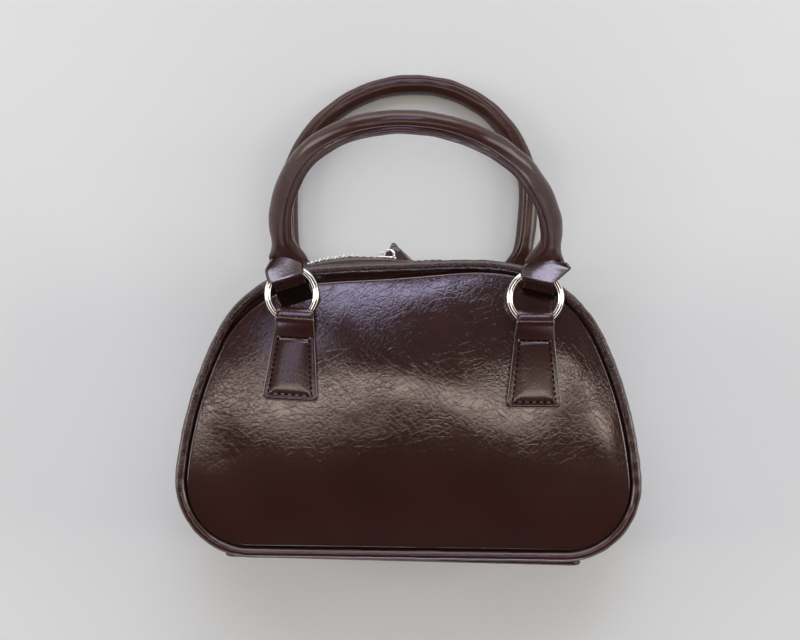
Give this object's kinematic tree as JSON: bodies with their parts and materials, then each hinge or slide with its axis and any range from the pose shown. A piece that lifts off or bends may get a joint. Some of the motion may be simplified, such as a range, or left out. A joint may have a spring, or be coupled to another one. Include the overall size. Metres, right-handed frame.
{
  "type": "mini handbag",
  "caption": "Small dome-shaped glossy leather handbag lying on its back, with rolled handles on metal rings and a partly open top zip.",
  "frame": {"origin": "under the middle of the whole bag, on the surface that it lies on", "axes": "+X across the bag to the right as seen from the front, +Y from its base towards its handles, +Z from the back panel up to the front panel"},
  "size_m": [0.2196, 0.2344, 0.1664],
  "materials": {
    "brown_leather": "glossy, finely creased",
    "silver_metal": "polished",
    "zip_tape": "woven"
  },
  "bodies": {
    "root": {"front_panel": "brown_leather", "front_piping": "brown_leather", "front_zip_strip": "brown_leather", "front_zip_tape": "zip_tape", "front_zip_teeth": "silver_metal", "front_handle": "brown_leather", "front_ring_left": "silver_metal", "front_ring_right": "silver_metal", "front_tab_left": "brown_leather", "front_tab_right": "brown_leather", "back_panel": "brown_leather", "back_piping": "brown_leather", "back_zip_strip": "brown_leather", "back_zip_tape": "zip_tape", "back_zip_teeth": "silver_metal", "back_handle": "brown_leather", "back_ring_left": "silver_metal", "back_ring_right": "silver_metal", "back_tab_left": "brown_leather", "back_tab_right": "brown_leather", "side_gusset_left": "brown_leather", "side_gusset_right": "brown_leather", "base_panel": "brown_leather", "zip_slider": "silver_metal", "zip_pull_ring": "silver_metal", "zip_pull_tab": "brown_leather"}
  },
  "joints": []
}
